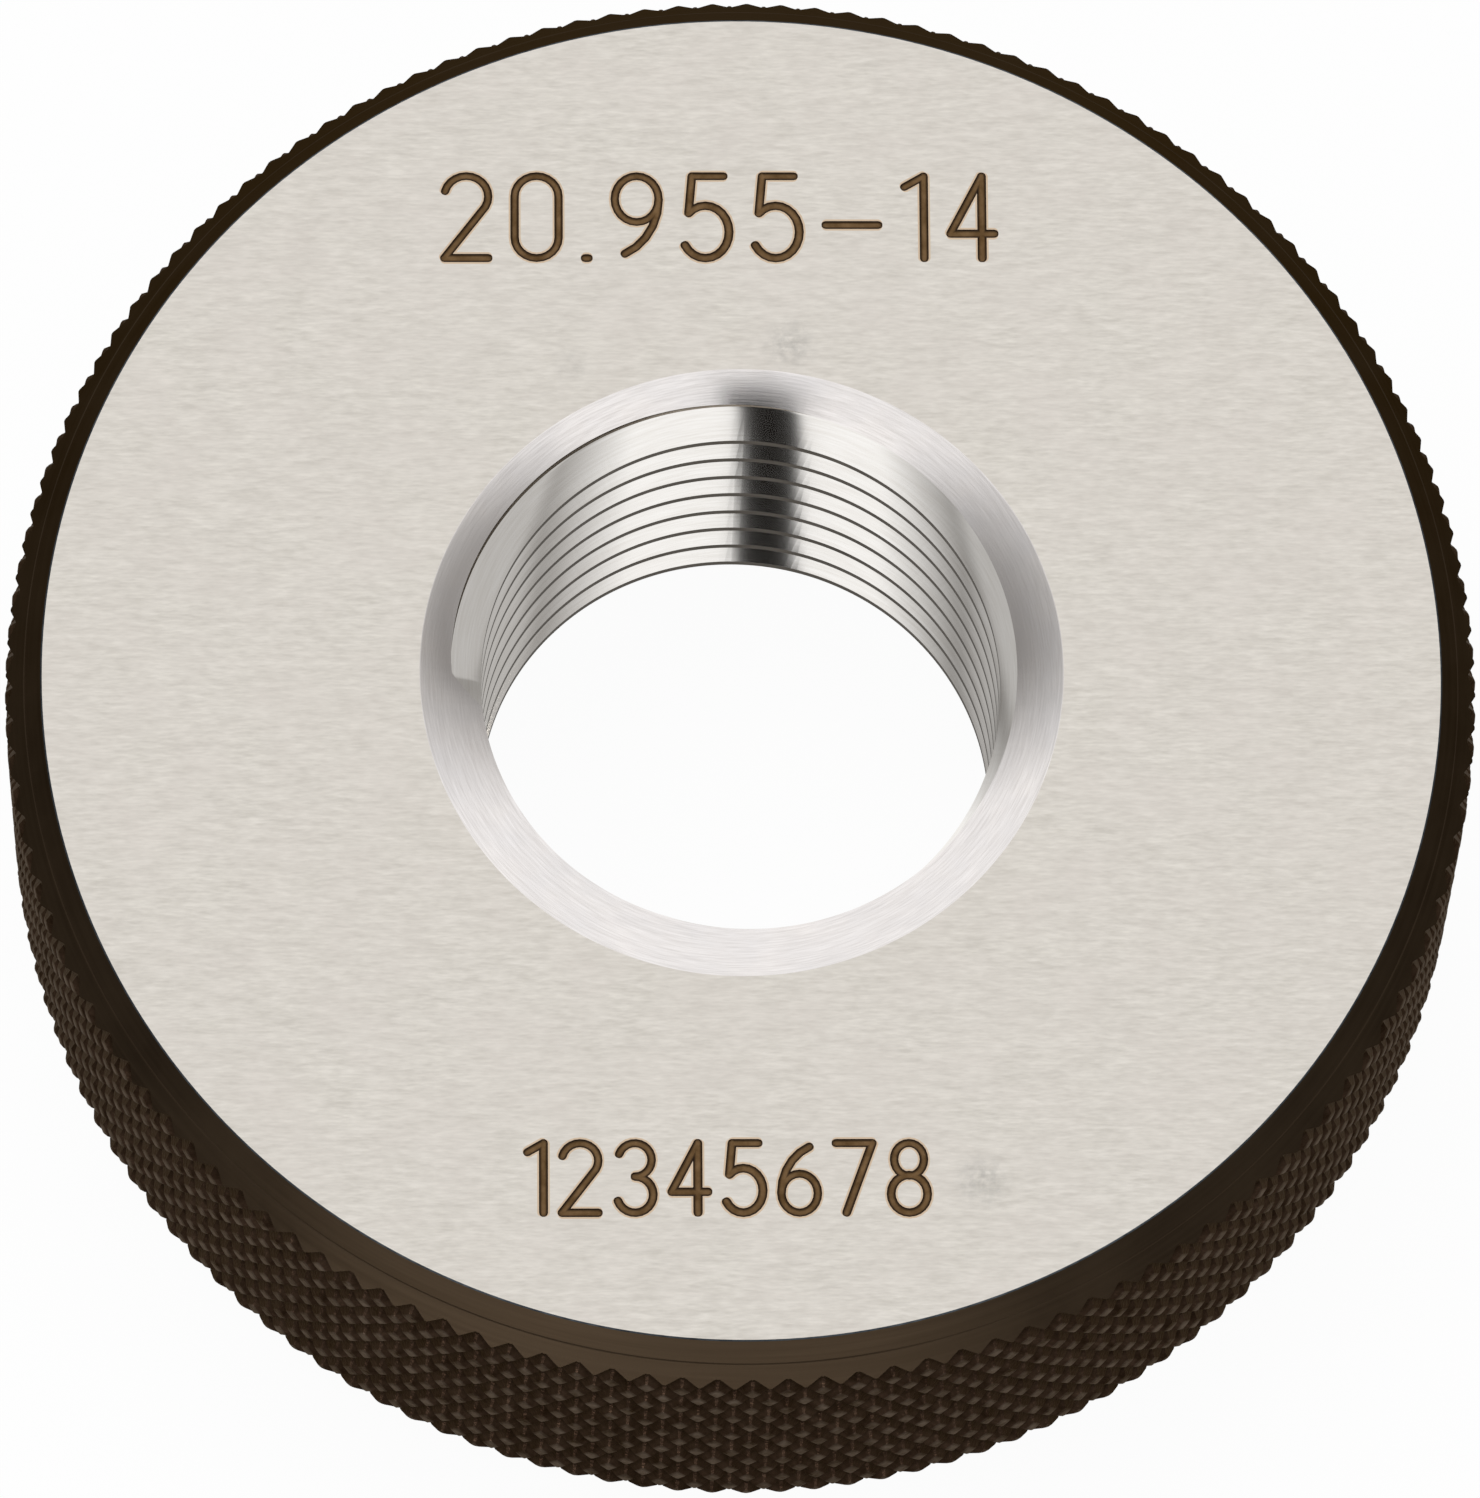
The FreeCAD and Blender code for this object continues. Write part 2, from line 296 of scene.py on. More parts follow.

# The marking: its strokes are burnt brown, with painted shade darkening them up their sides, and a
# scorched hem.
# How far a spot is below the face tells which of them it is in.
RING_WIDTH = 0.016
burnt, tree, shader, place = new_finish("burnt_marking")
height = lay(tree, "ShaderNodeSeparateXYZ", {0: place}).outputs["Z"]
depth = work_out(tree, "SUBTRACT", RING_WIDTH, height)
scorch = patches_on(tree, place, 1800.0, 3.0)
brown = blend(tree, scorch, (0.095, 0.050, 0.016), (0.190, 0.112, 0.050))
# Painted shade: the shallow sides of each stroke are painted near black.
brown = blend(tree, spread(tree, depth, 0.000027, 0.00005), (0.020, 0.010, 0.004), brown)
in_stroke = spread(tree, depth, 0.000001, 0.000002)
brown = blend(tree, in_stroke, (0.71, 0.56, 0.41), brown)
bare = work_out(tree, "MULTIPLY_ADD", in_stroke, -0.55, 1.0)
fill(tree, shader, {"Base Color": brown, "Metallic": bare, "Roughness": 0.5})
fill(tree, shader, {"Specular IOR Level": 0.2})

# The blank: a thick steel washer, turned all over. A bevel with one fine tool line runs from
# each face out to the knurl, and a countersunk mouth opens each end of the bore, which is left
# as wide as the thread's crests. Two columns of corners stand behind each tooth of the knurl.
FACE_RADIUS = 0.025
BEVEL_DEPTH = 0.00165
BEVEL_RUN_ON = 0.0012
TOOL_LINE_DEPTH = 0.00075
TOOL_LINE_WIDTH = 0.00005
EDGE_BREAK = 0.00003
MOUTH_BREAK = 0.000015
MOUTH_RADIUS = 0.011485
MOUTH_DEPTH = 0.00102
CREST_RADIUS = 0.0093155
TEETH = 132
KNURL_TURN = math.radians(0.545)
FINISHES = (ground, edge, turned, threaded, crest_painted_shade, blackened, knurled, burnt)


def on_bevel(depth):
    """The radius of the plain bevel at this depth below the face."""
    return FACE_RADIUS + (RIM_RADIUS - FACE_RADIUS) / BEVEL_DEPTH * depth


mouth_slope = (MOUTH_RADIUS - CREST_RADIUS) / MOUTH_DEPTH
line_floor = TOOL_LINE_DEPTH + TOOL_LINE_WIDTH * 0.7
line_end = TOOL_LINE_DEPTH + TOOL_LINE_WIDTH
bevel_end = BEVEL_DEPTH + BEVEL_RUN_ON

# Half of the section, from the bore out to beyond the rim: radius, depth below the face, and
# the finish of the surface that starts there.
half_section = [
    (CREST_RADIUS, MOUTH_DEPTH, turned),
    (MOUTH_RADIUS - mouth_slope * MOUTH_BREAK, MOUTH_BREAK, turned),
    (MOUTH_RADIUS + MOUTH_BREAK, 0.0, ground),
    (FACE_RADIUS - EDGE_BREAK, 0.0, edge),
    (on_bevel(EDGE_BREAK), EDGE_BREAK, blackened),
    (on_bevel(TOOL_LINE_DEPTH), TOOL_LINE_DEPTH, blackened),
    (on_bevel(TOOL_LINE_DEPTH) - TOOL_LINE_WIDTH / 3, line_floor, blackened),
    (on_bevel(line_end), line_end, blackened),
    (on_bevel(bevel_end), bevel_end, knurled),
]
upper_half = [(radius, RING_WIDTH - depth, finish) for radius, depth, finish in half_section]
lower_half = [
    (radius, depth, half_section[index - 1][2]) for index, (radius, depth, _) in enumerate(half_section)
]
# The bore's crests take the crest finish with its painted shade.
lower_half[0] = (CREST_RADIUS, MOUTH_DEPTH, crest_painted_shade)
section = upper_half + lower_half[::-1]

turning = bmesh.new()
columns = []
for step in range(2 * TEETH):
    angle = KNURL_TURN + step * math.pi / TEETH
    east, north = math.cos(angle), math.sin(angle)
    columns.append([turning.verts.new((r * east, r * north, z)) for r, z, _ in section])
for here, there in zip(columns, columns[1:] + columns[:1]):
    for index, (_, _, finish) in enumerate(section):
        following = (index + 1) % len(section)
        face = turning.faces.new((here[index], there[index], there[following], here[following]))
        face.material_index = FINISHES.index(finish)
bmesh.ops.recalc_face_normals(turning, faces=turning.faces)
blank_mesh = bpy.data.meshes.new("ring_blank")
turning.to_mesh(blank_mesh)
turning.free()
for finish in FINISHES:
    blank_mesh.materials.append(finish)
blank = bpy.data.objects.new("gauge_ring_dressed", blank_mesh)
bpy.context.scene.collection.objects.link(blank)

# The knurl: two sets of V grooves rolled into the rim, one each way, leave rows of pyramids with
# slightly flattened tips. One pyramid is laid out on the flat, in half pitches by rows, repeated
# over the whole lattice and wrapped round the ring.
KNURL_DEPTH = 0.00029
KNURL_ANGLE = math.radians(31.3)
KNURL_ROWS = 18
FIRST_CROSSING_DEPTH = 0.0012
KNURL_UNEVENNESS = 0.00003
KNURL_RUN_ON = 0.004
MERGE_DISTANCE = 0.000002
# Share of the way from groove to tip, and share of the full height there.
PYRAMID_STEPS = ((0.0, 0.0), (0.08, 0.10), (0.52, 0.88), (0.70, 1.0))
RIDGE_HALF_WIDTH = 0.13
row_height = RIM_RADIUS * math.pi / TEETH / math.tan(KNURL_ANGLE)


def new_tree(name, sizes):
    """A geometry tree with named inputs, and its input node."""
    tree = bpy.data.node_groups.new(name, "GeometryNodeTree")
    tree.interface.new_socket("Geometry", in_out="INPUT", socket_type="NodeSocketGeometry")
    for label, kind in sizes:
        tree.interface.new_socket(label, in_out="INPUT", socket_type="NodeSocket" + kind)
    tree.interface.new_socket("Geometry", in_out="OUTPUT", socket_type="NodeSocketGeometry")
    return tree, tree.nodes.new("NodeGroupInput").outputs


def end_tree(tree, geometry, finish):
    """Ends a tree: instances made real, one finish set."""
    real = lay(tree, "GeometryNodeRealizeInstances", {"Geometry": geometry}).outputs[0]
    painted = lay(tree, "GeometryNodeSetMaterial", {"Geometry": real, "Material": finish}).outputs[0]
    lay(tree, "NodeGroupOutput", {"Geometry": painted})


def grow(name, start_mesh, tree, values):
    """The plain mesh object that a tree makes of a starting mesh with these input values."""
    piece = bpy.data.objects.new(name, start_mesh)
    bpy.context.scene.collection.objects.link(piece)
    growth = piece.modifiers.new("growth", "NODES")
    growth.node_group = tree
    for item in tree.interface.items_tree:
        if item.in_out == "INPUT" and item.name in values:
            growth[item.identifier] = values[item.name]
    return settle(piece)


def settle(piece):
    """Turns a piece's modifiers into plain mesh."""
    evaluated = piece.evaluated_get(bpy.context.evaluated_depsgraph_get())
    mesh = bpy.data.meshes.new_from_object(evaluated)
    piece.modifiers.clear()
    piece.data = mesh
    return piece


pyramid = bmesh.new()
rings = []
for share, rise in PYRAMID_STEPS:
    reach = 1.0 - share
    ridge = RIDGE_HALF_WIDTH * reach if share else 0.0
    if share:
        corners = [(ridge, reach - ridge), (-ridge, reach - ridge), (-reach, 0)]
        corners += [(-ridge, ridge - reach), (ridge, ridge - reach), (reach, 0)]
    else:
        corners = [(0, 1), (0, 1), (-1, 0), (0, -1), (0, -1), (1, 0)]
    rings.append([pyramid.verts.new((x, y, rise)) for x, y in corners])
for outer, inner in zip(rings, rings[1:]):
    for side in range(6):
        following = (side + 1) % 6
        pyramid.faces.new((outer[side], outer[following], inner[following], inner[side]))
pyramid.faces.new(rings[-1])
bmesh.ops.remove_doubles(pyramid, verts=pyramid.verts, dist=0.0001)
pyramid_mesh = bpy.data.meshes.new("knurl_pyramid")
pyramid.to_mesh(pyramid_mesh)
pyramid.free()

knurl_tree, given = new_tree(
    "knurled_rim",
    (
        ("Teeth", "Int"),
        ("Rows", "Int"),
        ("Ring Width", "Float"),
        ("Root Radius", "Float"),
        ("Depth", "Float"),
        ("Row Height", "Float"),
        ("First Crossing", "Float"),
        ("Turn", "Float"),
        ("End Height", "Float"),
        ("Unevenness", "Float"),
        ("Finish", "Material"),
    ),
)
number = lay(knurl_tree, "GeometryNodeInputIndex").outputs[0]
column = work_out(knurl_tree, "MODULO", number, given["Teeth"])
row = work_out(knurl_tree, "FLOOR", work_out(knurl_tree, "DIVIDE", number, given["Teeth"]))
shift = work_out(knurl_tree, "MODULO", row, 2.0)
across = work_out(knurl_tree, "MULTIPLY_ADD", column, 2.0, shift)
down = work_out(knurl_tree, "SUBTRACT", 1.0, row)
spot = lay(knurl_tree, "ShaderNodeCombineXYZ", {"X": across, "Y": down}).outputs[0]
pyramid_count = work_out(knurl_tree, "MULTIPLY", given["Teeth"], given["Rows"])
lattice = lay(knurl_tree, "GeometryNodePoints", {"Count": pyramid_count, "Position": spot}).outputs[0]
sockets = {"Points": lattice, "Instance": given["Geometry"]}
flat = lay(knurl_tree, "GeometryNodeInstanceOnPoints", sockets).outputs[0]
flat = lay(knurl_tree, "GeometryNodeRealizeInstances", {"Geometry": flat}).outputs[0]
position = lay(knurl_tree, "GeometryNodeInputPosition").outputs[0]
here = lay(knurl_tree, "ShaderNodeSeparateXYZ", {0: position}).outputs
step_angle = work_out(knurl_tree, "DIVIDE", math.pi, given["Teeth"])
angle = work_out(knurl_tree, "MULTIPLY_ADD", here["X"], step_angle, given["Turn"])
height = work_out(knurl_tree, "MULTIPLY_ADD", here["Y"], given["Row Height"], given["First Crossing"])
sockets = {"Vector": position, "Scale": 1.7, "Detail": 2.0}
uneven = lay(knurl_tree, "ShaderNodeTexNoise", sockets).outputs["Fac"]
uneven = work_out(knurl_tree, "SUBTRACT", uneven, 0.5)
uneven = work_out(knurl_tree, "MULTIPLY", uneven, given["Unevenness"])
rise = work_out(knurl_tree, "MULTIPLY", here["Z"], work_out(knurl_tree, "ADD", given["Depth"], uneven))
radius = work_out(knurl_tree, "ADD", given["Root Radius"], rise)
wrapped = lay(
    knurl_tree,
    "ShaderNodeCombineXYZ",
    {
        "X": work_out(knurl_tree, "MULTIPLY", radius, work_out(knurl_tree, "COSINE", angle)),
        "Y": work_out(knurl_tree, "MULTIPLY", radius, work_out(knurl_tree, "SINE", angle)),
        "Z": height,
    },
).outputs[0]
skin = lay(knurl_tree, "GeometryNodeSetPosition", {"Geometry": flat, "Position": wrapped}).outputs[0]
sockets = {"Geometry": skin, "Distance": MERGE_DISTANCE}
skin = lay(knurl_tree, "GeometryNodeMergeByDistance", sockets).outputs[0]

# The open edges at both ends are drawn out to the end heights, and each end gets a flat cap.
neighbours = lay(knurl_tree, "GeometryNodeInputMeshEdgeNeighbors").outputs[0]
open_edge = lay(
    knurl_tree, "FunctionNodeCompare", {2: neighbours, 3: 1}, data_type="INT", operation="EQUAL"
).outputs[0]
sockets = {"Mesh": skin, "Selection": open_edge, "Offset Scale": 0.0}
drawn_out = lay(knurl_tree, "GeometryNodeExtrudeMesh", sockets, mode="EDGES").outputs
half_way = work_out(knurl_tree, "MULTIPLY", given["Ring Width"], 0.5)
is_upper = work_out(knurl_tree, "GREATER_THAN", here["Z"], half_way)
low_end = work_out(knurl_tree, "SUBTRACT", given["Ring Width"], given["End Height"])
end_span = work_out(knurl_tree, "SUBTRACT", given["End Height"], low_end)
end_height = work_out(knurl_tree, "MULTIPLY_ADD", is_upper, end_span, low_end)
sockets = {"X": here["X"], "Y": here["Y"], "Z": end_height}
end_spot = lay(knurl_tree, "ShaderNodeCombineXYZ", sockets).outputs[0]
sockets = {"Geometry": drawn_out["Mesh"], "Selection": drawn_out["Top"], "Position": end_spot}
tube = lay(knurl_tree, "GeometryNodeSetPosition", sockets).outputs[0]
corner_count = work_out(knurl_tree, "MULTIPLY", given["Teeth"], 2.0)
sockets = {"Vertices": corner_count, "Radius": given["Root Radius"]}
disc = lay(knurl_tree, "GeometryNodeMeshCircle", sockets, fill_type="NGON").outputs[0]
turn_about = lay(knurl_tree, "ShaderNodeCombineXYZ", {"Z": given["Turn"]}).outputs[0]
joined = lay(knurl_tree, "GeometryNodeJoinGeometry")
knurl_tree.links.new(tube, joined.inputs[0])
for level in (low_end, given["End Height"]):
    lift = lay(knurl_tree, "ShaderNodeCombineXYZ", {"Z": level}).outputs[0]
    sockets = {"Geometry": disc, "Translation": lift, "Rotation": turn_about}
    cap = lay(knurl_tree, "GeometryNodeTransform", sockets).outputs[0]
    knurl_tree.links.new(cap, joined.inputs[0])
sockets = {"Geometry": joined.outputs[0], "Distance": MERGE_DISTANCE}
closed = lay(knurl_tree, "GeometryNodeMergeByDistance", sockets).outputs[0]
end_tree(knurl_tree, closed, given["Finish"])

roll = grow(
    "knurled_roll",
    pyramid_mesh,
    knurl_tree,
    {
        "Teeth": TEETH,
        "Rows": KNURL_ROWS,
        "Ring Width": RING_WIDTH,
        "Root Radius": RIM_RADIUS - KNURL_DEPTH - KNURL_UNEVENNESS / 3,
        "Depth": KNURL_DEPTH,
        "Row Height": row_height,
        "First Crossing": RING_WIDTH - FIRST_CROSSING_DEPTH,
        "Turn": KNURL_TURN,
        "End Height": RING_WIDTH + KNURL_RUN_ON,
        "Unevenness": KNURL_UNEVENNESS,
        "Finish": knurled,
    },
)

# The thread: one right-hand groove of 55 degree form with round roots, 14 turns to the inch.
# Its section is swept up a helix, from below the lower face to above the upper one.
THREAD_PITCH = 0.0018143
MAJOR_RADIUS = 0.0104775
THREAD_START = 0.000265
FLANK_ANGLE = math.radians(27.5)
ROOT_ROUNDING = 0.1373 * THREAD_PITCH
ROOT_STEPS = 6
GROOVE_RUN_ON = 0.0003
THREAD_TURNS = 10.9
STEPS_PER_TURN = 216

root_centre = MAJOR_RADIUS - ROOT_ROUNDING
groove_outline = []
for step in range(ROOT_STEPS + 1):
    swing = (math.pi / 2 - FLANK_ANGLE) * (1 - 2 * step / ROOT_STEPS)
    radius = root_centre + ROOT_ROUNDING * math.cos(swing)
    groove_outline.append((radius, ROOT_ROUNDING * math.sin(swing)))

# Inside the bore the groove is just narrower than its pitch, so that its turns don't meet.
open_radius = CREST_RADIUS - GROOVE_RUN_ON
open_height = THREAD_PITCH * 0.49
groove_outline = [(open_radius, open_height)] + groove_outline + [(open_radius, -open_height)]
groove_mesh = bpy.data.meshes.new("thread_groove_section")
groove_mesh.from_pydata(
    [(r - CREST_RADIUS, -z, 0.0) for r, z in groove_outline],
    [(index, (index + 1) % len(groove_outline)) for index in range(len(groove_outline))],
    [],
)

thread_tree, given = new_tree(
    "helical_groove",
    (
        ("Radius", "Float"),
        ("Pitch", "Float"),
        ("Turns", "Float"),
        ("Steps per Turn", "Int"),
        ("Start Height", "Float"),
        ("Root Radius", "Float"),
        ("Finish", "Material"),
        ("Root Finish", "Material"),
    ),
)
helix = lay(
    thread_tree,
    "GeometryNodeCurveSpiral",
    {
        "Resolution": given["Steps per Turn"],
        "Rotations": given["Turns"],
        "Start Radius": given["Radius"],
        "End Radius": given["Radius"],
        "Height": work_out(thread_tree, "MULTIPLY", given["Pitch"], given["Turns"]),
        "Reverse": True,
    },
).outputs[0]
lift = lay(thread_tree, "ShaderNodeCombineXYZ", {"Z": given["Start Height"]}).outputs[0]
helix = lay(thread_tree, "GeometryNodeTransform", {"Geometry": helix, "Translation": lift}).outputs[0]
helix = lay(thread_tree, "GeometryNodeSetCurveNormal", {"Curve": helix}, mode="Z_UP").outputs[0]
outline = lay(thread_tree, "GeometryNodeMeshToCurve", {"Mesh": given["Geometry"]}).outputs[0]
groove = lay(
    thread_tree,
    "GeometryNodeCurveToMesh",
    {"Curve": helix, "Profile Curve": outline, "Fill Caps": True},
).outputs[0]
groove = lay(thread_tree, "GeometryNodeRealizeInstances", {"Geometry": groove}).outputs[0]
sockets = {"Geometry": groove, "Material": given["Finish"]}
groove = lay(thread_tree, "GeometryNodeSetMaterial", sockets).outputs[0]
_, radius = off_axis(thread_tree, lay(thread_tree, "GeometryNodeInputPosition").outputs[0])
at_root = work_out(thread_tree, "GREATER_THAN", radius, given["Root Radius"])
sockets = {"Geometry": groove, "Selection": at_root, "Material": given["Root Finish"]}
groove = lay(thread_tree, "GeometryNodeSetMaterial", sockets).outputs[0]
lay(thread_tree, "NodeGroupOutput", {"Geometry": groove})

groove = grow(
    "thread_groove",
    groove_mesh,
    thread_tree,
    {
        "Radius": CREST_RADIUS,
        "Pitch": THREAD_PITCH,
        "Turns": THREAD_TURNS,
        "Steps per Turn": STEPS_PER_TURN,
        "Start Height": THREAD_START - THREAD_PITCH,
        "Root Radius": MAJOR_RADIUS - ROOT_ROUNDING / 4,
        "Finish": threaded,
        # The roots take the crest finish with its painted shade.
        "Root Finish": crest_painted_shade,
    },
)

# The marking: two lines of plain numbers in the upper face, cut with a round-nosed tool. Each
# figure is a few strokes, drawn on a square one unit high. Strokes that meet are cut one after
# the other, each a little deeper than the one before.
STROKE_HALF_WIDTH = 0.000155
HEM_HALF_WIDTH = 0.000215
HEM_DEPTH = 0.0000005
DEEPER_EACH_PASS = 0.04
DEGREES_PER_POINT = 15
END_ROUNDING = [math.radians(turn) for turn in (30, 55, 75)]
# From the middle of a stroke out to its hem: distance and depth below the face.
half_stroke = [
    (0.00005, 0.00005),
    (0.000105, 0.00003),
    (STROKE_HALF_WIDTH, HEM_DEPTH),
    (HEM_HALF_WIDTH, HEM_DEPTH),
    (HEM_HALF_WIDTH, -0.00002),
]
stroke_outline = [(-x, y) for x, y in reversed(half_stroke)] + half_stroke
# Line of figures, height, left end, right end and foot of the strokes' centre lines.
LINES = (
    ("20.955-14", 0.00317, -0.01062, 0.00922, 0.015775),
    ("12345678", 0.002575, -0.007685, 0.00643, -0.020285),
)


def bow(x, y, across, up, start, end):
    """Points along an arc of an ellipse, in degrees."""
    count = max(2, round(abs(end - start) / DEGREES_PER_POINT))
    turns = [math.radians(start + (end - start) * step / count) for step in range(count + 1)]
    return [(x + across * math.cos(turn), y + up * math.sin(turn)) for turn in turns]


six_loop = bow(0.25, 0.28, 0.25, 0.28, 180, 540)
six_stem = bow(0.62, 0.28, 0.62, 0.72, 180, 112)
five_bowl = bow(0.23, 0.32, 0.27, 0.32, 135, -150)
FIGURES = {
    "0": [bow(0.25, 0.25, 0.25, 0.25, 180, 360) + bow(0.25, 0.75, 0.25, 0.25, 0, 180) + [(0.0, 0.25)]],
    "1": [[(0.0, 0.87), (0.22, 1.0)], [(0.22, 1.0), (0.22, 0.0)]],
    "2": [bow(0.25, 0.75, 0.25, 0.25, 165, -30) + [(0.0, 0.0)], [(0.0, 0.0), (0.5, 0.0)]],
    "3": [bow(0.25, 0.76, 0.23, 0.24, 160, -90), bow(0.25, 0.26, 0.25, 0.26, 90, -160)],
    "4": [[(0.36, 1.0), (0.0, 0.3)], [(0.0, 0.3), (0.5, 0.3)], [(0.36, 1.0), (0.36, 0.0)]],
    "5": [[(0.44, 1.0), (0.08, 1.0)], [(0.08, 1.0), (0.04, 0.55)], five_bowl],
    "6": [six_loop, six_stem],
    "7": [[(0.0, 1.0), (0.5, 1.0)], [(0.5, 1.0), (0.14, 0.0)]],
    "8": [bow(0.25, 0.765, 0.205, 0.235, 0, 360), bow(0.25, 0.27, 0.25, 0.27, 0, 360)],
    "9": [[(0.5 - x, 1.0 - y) for x, y in stroke] for stroke in (six_loop, six_stem)],
    "-": [[(0.0, 0.405), (0.6, 0.405)]],
    ".": [[(0.0, 0.0), (0.04, 0.0)]],
}

passes = [[], [], []]
for figures, tall, left, right, foot in LINES:
    widths = [tall * max(x for stroke in FIGURES[figure] for x, _ in stroke) for figure in figures]
    gap = (right - left - sum(widths)) / (len(figures) - 1)
    for figure, wide in zip(figures, widths):
        for order, stroke in enumerate(FIGURES[figure]):
            placed = [Vector((left + x * tall, foot + y * tall, RING_WIDTH)) for x, y in stroke]
            passes[order].append(placed)
        left += wide + gap

section_mesh = bpy.data.meshes.new("stroke_section")
section_edges = [(index, (index + 1) % len(stroke_outline)) for index in range(len(stroke_outline))]
section_mesh.from_pydata([(x, y, 0.0) for x, y in stroke_outline], section_edges, [])
stroke_section = bpy.data.objects.new("stroke_section", section_mesh)
bpy.context.scene.collection.objects.link(stroke_section)

stroke_tree, given = new_tree("engraved_strokes", (("Section", "Object"), ("Finish", "Material")))
path = lay(stroke_tree, "GeometryNodeMeshToCurve", {"Mesh": given["Geometry"]}).outputs[0]
path = lay(stroke_tree, "GeometryNodeSetCurveNormal", {"Curve": path}, mode="Z_UP").outputs[0]
sockets = {"Name": "size"}
size = lay(stroke_tree, "GeometryNodeInputNamedAttribute", sockets, data_type="FLOAT").outputs[0]
drawn = lay(stroke_tree, "GeometryNodeObjectInfo", {"Object": given["Section"]}).outputs["Geometry"]
drawn = lay(stroke_tree, "GeometryNodeMeshToCurve", {"Mesh": drawn}).outputs[0]
swept = lay(
    stroke_tree,
    "GeometryNodeCurveToMesh",
    {"Curve": path, "Profile Curve": drawn, "Scale": size, "Fill Caps": True},
).outputs[0]
end_tree(stroke_tree, swept, given["Finish"])

strokes = []
for order, paths in enumerate(passes):
    points, edges, sizes = [], [], []
    full = 1.0 + DEEPER_EACH_PASS * order
    for stroke in paths:
        closed = (stroke[0] - stroke[-1]).length < MERGE_DISTANCE
        first = len(points)
        if closed:
            stroke = stroke[:-1]
            sizes += [full] * len(stroke)
        else:
            head = (stroke[0] - stroke[1]).normalized() * STROKE_HALF_WIDTH
            tail = (stroke[-1] - stroke[-2]).normalized() * STROKE_HALF_WIDTH
            lead_in = [stroke[0] + head * math.sin(turn) for turn in reversed(END_ROUNDING)]
            lead_out = [stroke[-1] + tail * math.sin(turn) for turn in END_ROUNDING]
            narrowing = [full * math.cos(turn) for turn in END_ROUNDING]
            sizes += narrowing[::-1] + [full] * len(stroke) + narrowing
            stroke = lead_in + stroke + lead_out
        points += stroke
        edges += [(index, index + 1) for index in range(first, len(points) - 1)]
        if closed:
            edges.append((len(points) - 1, first))
    path_mesh = bpy.data.meshes.new("marking_paths")
    path_mesh.from_pydata(points, edges, [])
    path_mesh.attributes.new("size", "FLOAT", "POINT").data.foreach_set("value", sizes)
    values = {"Section": stroke_section, "Finish": burnt}
    strokes.append(grow(f"marking_pass_{order + 1}", path_mesh, stroke_tree, values))
bpy.data.objects.remove(stroke_section)

# The ring is put together: the blank loses the strokes of the marking, keeps what lies inside
# the roll, and loses the thread's groove.
cutters = [(stroke, "DIFFERENCE") for stroke in strokes] + [(roll, "INTERSECT"), (groove, "DIFFERENCE")]
for cutter, operation in cutters:
    outward = bmesh.new()
    outward.from_mesh(cutter.data)
    bmesh.ops.recalc_face_normals(outward, faces=outward.faces)
    outward.to_mesh(cutter.data)
    outward.free()
    cut = blank.modifiers.new(cutter.name, "BOOLEAN")
    cut.object = cutter
    cut.operation = operation
    cut.solver = "EXACT"
    cut.material_mode = "TRANSFER"
settle(blank)
for cutter, _ in cutters:
    bpy.data.objects.remove(cutter)

# Edges that bend by more than the crisp angle, and those between two finishes, are shaded crisp.
CRISP_ANGLE = math.radians(16)
ring_mesh = blank.data
ring_mesh.polygons.foreach_set("use_smooth", [True] * len(ring_mesh.polygons))
ring_mesh.set_sharp_from_angle(angle=CRISP_ANGLE)
creases = bmesh.new()
creases.from_mesh(ring_mesh)
for line in creases.edges:
    if len({face.material_index for face in line.link_faces}) > 1:
        line.smooth = False
creases.to_mesh(ring_mesh)
creases.free()
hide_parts("gauge_ring")
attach(blank, "root")

# The floor: a white table. The camera sees a white glow over paper that keeps a little of the
# ring's shadow, the metal mirrors a dimmer glow, and all other rays meet the plain paper.
floor_material = bpy.data.materials.new("white_floor")
floor_material.use_nodes = True
tree = floor_material.node_tree
tree.nodes.clear()
paper = lay(tree, "ShaderNodeBsdfDiffuse", {"Color": (0.85, 0.85, 0.85, 1)}).outputs[0]
light_path = lay(tree, "ShaderNodeLightPath").outputs
seen = work_out(tree, "MAXIMUM", light_path["Is Camera Ray"], light_path["Is Transmission Ray"])
strength = work_out(tree, "MULTIPLY_ADD", seen, 0.74, 0.26)
glow = lay(tree, "ShaderNodeEmission", {"Color": (1, 1, 1, 1), "Strength": strength}).outputs[0]
share = work_out(tree, "MAXIMUM", seen, light_path["Is Glossy Ray"])
share = work_out(tree, "MULTIPLY", share, 0.96)
surface = lay(tree, "ShaderNodeMixShader", {0: share, 1: paper, 2: glow}).outputs[0]
lay(tree, "ShaderNodeOutputMaterial", {"Surface": surface})
floor_mesh = bpy.data.meshes.new("floor")
floor_mesh.from_pydata([(-4, -4, 0), (4, -4, 0), (4, 4, 0), (-4, 4, 0)], [], [(0, 1, 2, 3)])
floor_mesh.materials.append(floor_material)
floor = bpy.data.objects.new("floor", floor_mesh)
bpy.context.scene.collection.objects.link(floor)

# The studio, as the bright metal mirrors it: white from behind over the top to the front, dark
# out to both sides, and lighter again low down and at the far sides. A dark gap parts the light
# in front. The camera sees plain white, and light that isn't mirrored is a dimmer white.
GAP_CENTRE = -0.04
world = bpy.data.worlds.new("studio")
world.use_nodes = True
tree = world.node_tree
tree.nodes.clear()
light_path = lay(tree, "ShaderNodeLightPath").outputs
way = lay(tree, "ShaderNodeTexCoord").outputs["Generated"]
way = lay(tree, "ShaderNodeSeparateXYZ", {0: way}).outputs
sideways = work_out(tree, "ABSOLUTE", way["X"])
behind = work_out(tree, "MAXIMUM", work_out(tree, "SUBTRACT", way["Y"], 0.3), 0.0)
aside = spread(tree, work_out(tree, "MULTIPLY_ADD", behind, -0.4, sideways), 0.43, 0.75)
aside = work_out(tree, "MULTIPLY", aside, spread(tree, way["Z"], 0.10, 0.28))
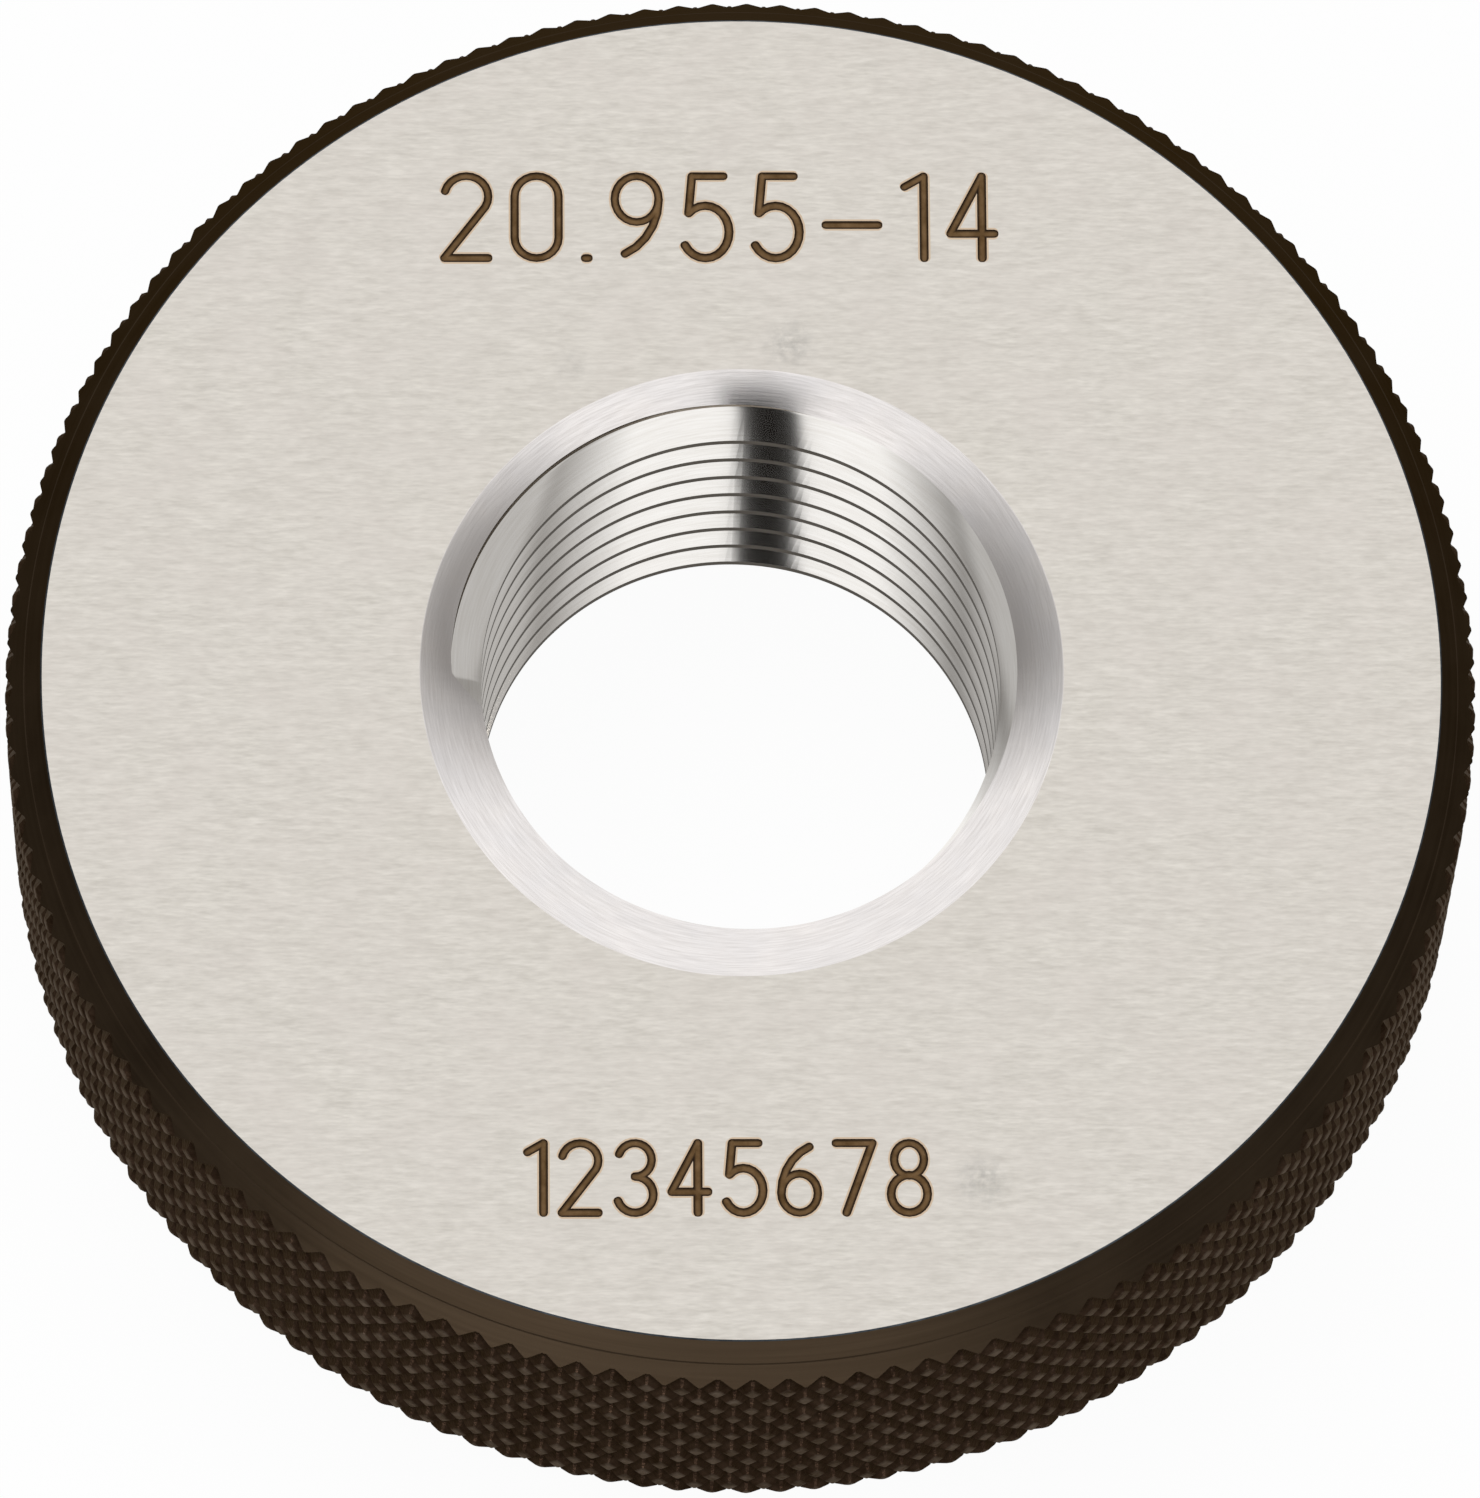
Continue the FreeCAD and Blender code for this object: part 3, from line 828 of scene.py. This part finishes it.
far_out = spread(tree, work_out(tree, "MULTIPLY_ADD", way["Y"], -0.1, sideways), 0.70, 0.745)
aside = work_out(tree, "MULTIPLY", aside, work_out(tree, "MULTIPLY_ADD", far_out, -0.45, 1.0))
from_gap = work_out(tree, "ABSOLUTE", work_out(tree, "SUBTRACT", way["X"], GAP_CENTRE))
in_front = spread(tree, way["Y"], -0.38, -0.47)
in_gap = work_out(tree, "MULTIPLY", spread(tree, from_gap, 0.125, 0.095), in_front)
to_the_right = spread(tree, way["X"], -0.5, 0.5)
dark_side = blend(tree, to_the_right, (0.10, 0.092, 0.083), (0.14, 0.128, 0.115))
room = blend(tree, aside, (1.0, 1.0, 1.0), dark_side)
room = blend(tree, in_gap, room, (0.004, 0.003, 0.002))
mirrored = light_path["Is Glossy Ray"]
room = blend(tree, mirrored, (1.0, 1.0, 1.0), room)
seen = work_out(tree, "MAXIMUM", light_path["Is Camera Ray"], light_path["Is Transmission Ray"])
plain = work_out(tree, "MULTIPLY_ADD", seen, 0.6, 0.4)
strength = work_out(tree, "MAXIMUM", mirrored, plain)
sky = lay(tree, "ShaderNodeBackground", {"Color": room, "Strength": strength}).outputs[0]
lay(tree, "ShaderNodeOutputWorld", {"Surface": sky})
bpy.context.scene.world = world

# Lamps: a wide low one in front, which the near bevel mirrors, and a soft one overhead, which
# no metal mirrors. Bearings run from the front towards +X, and rises from the floor up.
for name, bearing, rise, away, wide, tall, power, in_mirrors in (
    ("front_light", -12, 9, 0.8, 1.1, 0.2, 2.4, True),
    ("top_light", 200, 70, 0.8, 0.6, 0.6, 4.0, False),
):
    lamp_data = bpy.data.lights.new(name, "AREA")
    lamp_data.shape = "RECTANGLE"
    lamp_data.size = wide
    lamp_data.size_y = tall
    lamp_data.energy = power
    lamp = bpy.data.objects.new(name, lamp_data)
    east, up = math.radians(bearing), math.radians(rise)
    spot = Vector((math.sin(east) * math.cos(up), -math.cos(east) * math.cos(up), math.sin(up)))
    lamp.location = spot * away
    lamp.rotation_euler = (-spot).to_track_quat("-Z", "Y").to_euler()
    lamp.visible_glossy = in_mirrors
    bpy.context.scene.collection.objects.link(lamp)

bpy.context.scene.view_settings.view_transform = "Standard"
